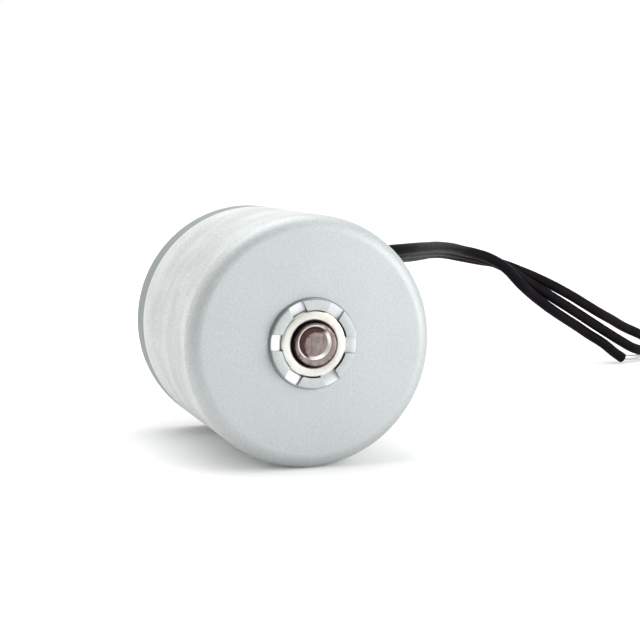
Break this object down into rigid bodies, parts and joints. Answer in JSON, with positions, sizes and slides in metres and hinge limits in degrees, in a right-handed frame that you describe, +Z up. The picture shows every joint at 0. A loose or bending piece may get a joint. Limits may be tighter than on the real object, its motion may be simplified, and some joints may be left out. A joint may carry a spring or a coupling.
{
  "type": "cylindrical vibration motor",
  "caption": "Cylindrical vibration motor in a drawn steel can: staked bearing collar and shaft end on the closed face, eccentric weight inside, plastic rear cover, black flying leads.",
  "frame": {"origin": "centre of the motor's footprint on the surface it lies on, without its leads", "axes": "+Y along the shaft from the closed face to the rear cover, +Z up, +X to the right seen from the closed face"},
  "size_m": [0.1372, 0.103, 0.036],
  "materials": {
    "zinc_can": "matte zinc-plated drawn steel, fine grained",
    "sintered_bush": "sintered bronze, fine turned face",
    "shaft_steel": "ground steel, darkened end",
    "lamination": "stacked electrical steel",
    "copper_winding": "enamelled copper winding",
    "weight_brass": "machined brass",
    "ferrite": "sintered ferrite, matte",
    "spring_steel": "bright stainless steel",
    "nylon": "moulded nylon",
    "black_cover": "moulded black plastic, fine texture",
    "board": "glass-epoxy board with green lacquer",
    "tin": "tinned copper and solder",
    "grommet_rubber": "matte black rubber",
    "lead_sleeve": "smooth black lead insulation"
  },
  "bodies": {
    "housing": {"can": "zinc_can", "front_bush": "sintered_bush", "rear_bush": "sintered_bush", "stator_core": "lamination", "front_insulator": "nylon", "rear_insulator": "nylon", "coil_1": "copper_winding", "coil_2": "copper_winding", "coil_3": "copper_winding", "coil_4": "copper_winding", "coil_5": "copper_winding", "coil_6": "copper_winding", "rear_cover": "black_cover", "terminal_board": "board", "solder_joint_1": "tin", "solder_joint_2": "tin", "solder_joint_3": "tin", "wave_washer": "spring_steel", "lead_grommet": "grommet_rubber", "lead_1": "lead_sleeve", "lead_2": "lead_sleeve", "lead_3": "lead_sleeve", "lead_1_tip": "tin", "lead_2_tip": "tin", "lead_3_tip": "tin"},
    "rotor": {"shaft": "shaft_steel", "front_washer": "nylon", "rear_washer": "nylon", "eccentric_weight": "weight_brass", "weight_screw": "spring_steel", "spacer_sleeve": "spring_steel", "rotor_core": "lamination", "magnet_1": "ferrite", "magnet_2": "ferrite", "magnet_3": "ferrite", "magnet_4": "ferrite", "magnet_band": "spring_steel"}
  },
  "joints": [
    {"name": "rotor_spin", "type": "hinge", "parent": "housing", "child": "rotor", "pos_m": [0, 0, 0.018], "axis": [0, -1, 0], "continuous": true}
  ]
}
